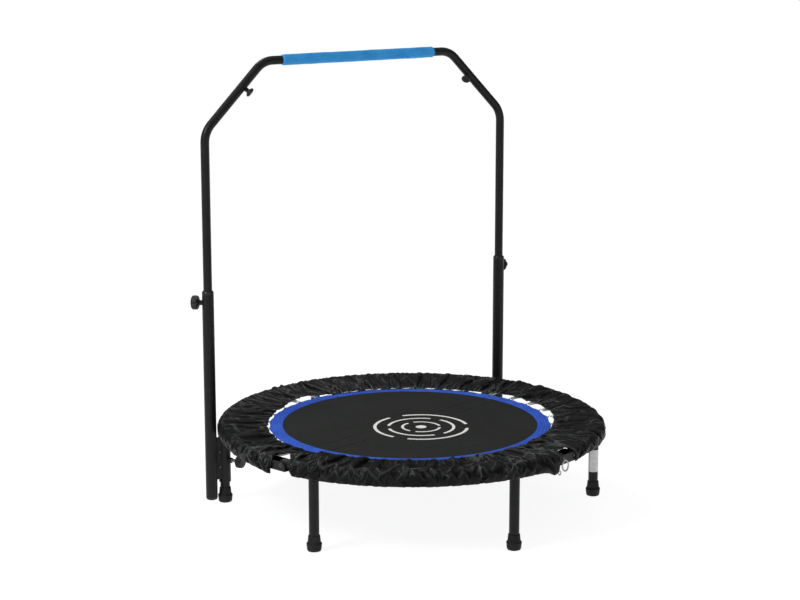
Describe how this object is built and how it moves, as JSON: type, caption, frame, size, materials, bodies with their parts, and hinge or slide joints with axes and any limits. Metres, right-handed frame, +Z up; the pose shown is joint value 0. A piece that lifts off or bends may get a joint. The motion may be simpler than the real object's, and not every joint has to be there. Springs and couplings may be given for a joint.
{
  "type": "mini trampoline",
  "caption": "Round folding mini trampoline with blue-edged black mat, soft spring cover, short legs and a height-adjustable handlebar.",
  "frame": {"origin": "on the floor under the centre of the mat", "axes": "+Z up, +Y from the mat centre towards the handlebar, X along the handlebar"},
  "size_m": [0.993, 0.9977, 1.147],
  "materials": {
    "black_powder_coat": "satin",
    "zinc_steel": "satin",
    "black_oxide_steel": "dark, lightly oiled",
    "black_rubber": "matte",
    "black_knob_plastic": "moulded",
    "black_cap_plastic": "moulded",
    "blue_foam": "soft foam",
    "blue_webbing": "stitched webbing",
    "black_mesh": "woven",
    "black_nylon": "crumpled, slightly shiny",
    "pale_label": "smooth"
  },
  "bodies": {
    "frame_rear": {"ring_arc_rear_right": "black_powder_coat", "ring_arc_rear_left": "black_powder_coat", "side_link_105": "black_powder_coat", "side_link_pins_105": "black_oxide_steel", "leg_030": "black_powder_coat", "leg_090": "black_powder_coat", "leg_150": "black_powder_coat", "foot_030": "black_rubber", "foot_090": "black_rubber", "foot_150": "black_rubber", "leg_stubs_rear": "black_powder_coat", "upright_left": "black_powder_coat", "upright_right": "black_powder_coat", "upright_cap_left": "black_cap_plastic", "upright_cap_right": "black_cap_plastic", "upright_bushing_left": "black_cap_plastic", "upright_bushing_right": "black_cap_plastic", "height_nuts": "black_powder_coat", "leg_sleeve_left": "black_powder_coat", "leg_sleeve_right": "black_powder_coat", "bracket_left": "black_powder_coat", "bracket_right": "black_powder_coat", "bracket_bolts": "black_oxide_steel", "clamp_nuts": "black_powder_coat", "springs_rear": "zinc_steel", "cover_rear": "black_nylon"},
    "fold_links": {"fold_link_015": "black_powder_coat", "fold_link_195": "black_powder_coat", "fold_link_pins": "black_oxide_steel"},
    "frame_front": {"ring_arc_front_left": "black_powder_coat", "ring_arc_front_right": "black_powder_coat", "side_link_288": "black_powder_coat", "side_link_pins_288": "black_oxide_steel", "leg_208": "black_powder_coat", "leg_268": "black_powder_coat", "leg_330": "black_powder_coat", "foot_208": "black_rubber", "foot_268": "black_rubber", "foot_330": "black_rubber", "leg_stubs_front": "black_powder_coat", "leg_label": "pale_label", "springs_front": "zinc_steel", "cover_front": "black_nylon"},
    "mat_rear_half": {"mat_rear": "black_mesh", "mat_band_rear": "blue_webbing"},
    "mat_fold_strip": {"mat_middle": "black_mesh", "mat_band_middle": "blue_webbing"},
    "mat_front_half": {"mat_front": "black_mesh", "mat_band_front": "blue_webbing"},
    "handle": {"side_tube_left": "black_powder_coat", "side_tube_right": "black_powder_coat", "top_bar": "black_powder_coat", "foam_grip": "blue_foam", "handle_nuts": "black_powder_coat"},
    "height_knob_l": {"height_knob_left": "black_knob_plastic"},
    "height_knob_r": {"height_knob_right": "black_knob_plastic"},
    "clamp_knob_l": {"clamp_knob_left": "black_knob_plastic"},
    "clamp_knob_r": {"clamp_knob_right": "black_knob_plastic"},
    "handle_knob_l": {"handle_knob_left": "black_knob_plastic"},
    "handle_knob_r": {"handle_knob_right": "black_knob_plastic"}
  },
  "joints": [
    {"name": "fold_rear_pin", "type": "hinge", "parent": "frame_rear", "child": "fold_links", "pos_m": [-0.00647, 0.02415, 0.203], "axis": [-0.9659, -0.2588, 0], "range_deg": [0, 90]},
    {"name": "fold_front_pin", "type": "hinge", "parent": "fold_links", "child": "frame_front", "pos_m": [0.00647, -0.02415, 0.203], "axis": [-0.9659, -0.2588, 0], "range_deg": [0, 90]},
    {"name": "mat_bounce_rear", "type": "slide", "parent": "frame_rear", "child": "mat_rear_half", "axis": [0, 0, 1], "range_m": [-0.09, 0], "stiffness_N_per_m": 3600, "deforming": ["springs_rear"]},
    {"name": "mat_bounce_middle", "type": "slide", "parent": "fold_links", "child": "mat_fold_strip", "axis": [0, 0, 1], "range_m": [-0.09, 0], "stiffness_N_per_m": 800},
    {"name": "mat_bounce_front", "type": "slide", "parent": "frame_front", "child": "mat_front_half", "axis": [0, 0, 1], "range_m": [-0.09, 0], "stiffness_N_per_m": 3600, "deforming": ["springs_front"]},
    {"name": "handle_height", "type": "slide", "parent": "frame_rear", "child": "handle", "axis": [0, 0, 1], "range_m": [-0.18, 0.06]},
    {"name": "height_knob_l_turn", "type": "hinge", "parent": "frame_rear", "child": "height_knob_l", "pos_m": [-0.4537, 0.242, 0.53], "axis": [-0.7431, 0.6691, 0], "range_deg": [0, 270]},
    {"name": "clamp_knob_l_turn", "type": "hinge", "parent": "frame_rear", "child": "clamp_knob_l", "pos_m": [-0.41569, 0.24, 0.113], "axis": [0.4848, -0.8746, 0], "range_deg": [0, 270]},
    {"name": "handle_knob_l_turn", "type": "hinge", "parent": "handle", "child": "handle_knob_l", "pos_m": [-0.34515, 0.242, 1.07155], "axis": [0.5997, -0.5299, -0.5997], "range_deg": [0, 270]},
    {"name": "height_knob_r_turn", "type": "hinge", "parent": "frame_rear", "child": "height_knob_r", "pos_m": [0.4537, 0.242, 0.53], "axis": [0.7431, 0.6691, 0], "range_deg": [0, 270]},
    {"name": "clamp_knob_r_turn", "type": "hinge", "parent": "frame_rear", "child": "clamp_knob_r", "pos_m": [0.41569, 0.24, 0.113], "axis": [-0.4848, -0.8746, 0], "range_deg": [0, 270]},
    {"name": "handle_knob_r_turn", "type": "hinge", "parent": "handle", "child": "handle_knob_r", "pos_m": [0.34515, 0.242, 1.07155], "axis": [-0.5997, -0.5299, -0.5997], "range_deg": [0, 270]}
  ],
  "couplings": [
    {"joint": "fold_front_pin", "follows": "fold_rear_pin", "ratio": 1},
    {"joint": "mat_bounce_middle", "follows": "mat_bounce_rear", "ratio": 1},
    {"joint": "mat_bounce_front", "follows": "mat_bounce_rear", "ratio": 1}
  ]
}
